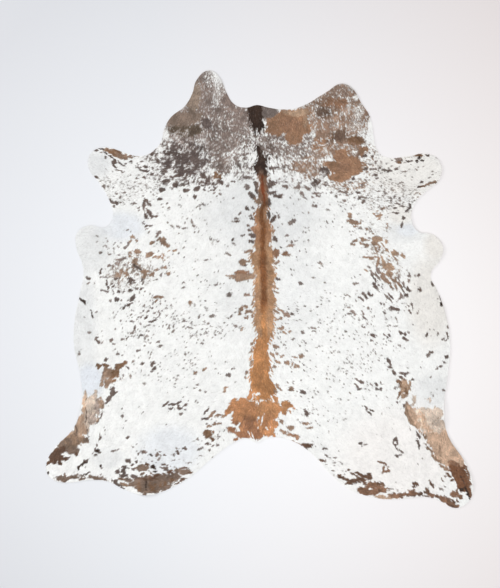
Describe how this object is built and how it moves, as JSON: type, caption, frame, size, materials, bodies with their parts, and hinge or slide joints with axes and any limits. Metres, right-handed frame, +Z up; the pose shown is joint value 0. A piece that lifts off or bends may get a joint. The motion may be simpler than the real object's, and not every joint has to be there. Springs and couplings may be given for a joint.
{
  "type": "cowhide rug",
  "caption": "Flat one-piece hide rug lying hair side up, with the outline of an opened skin: neck, legs, belly flaps and tail notch; covers and softens a floor.",
  "frame": {"origin": "middle of the hide's box, on the floor under it", "axes": "+Y along the spine towards the neck, +X to the right seen from above, +Z up out of the hair side"},
  "size_m": [2.135, 2.19, 0.0143],
  "materials": {
    "hair_on_leather": "short white hair with brown, tan and grey-black flecks, satin; suede underside"
  },
  "bodies": {
    "root": {"hide": "hair_on_leather"}
  },
  "joints": []
}
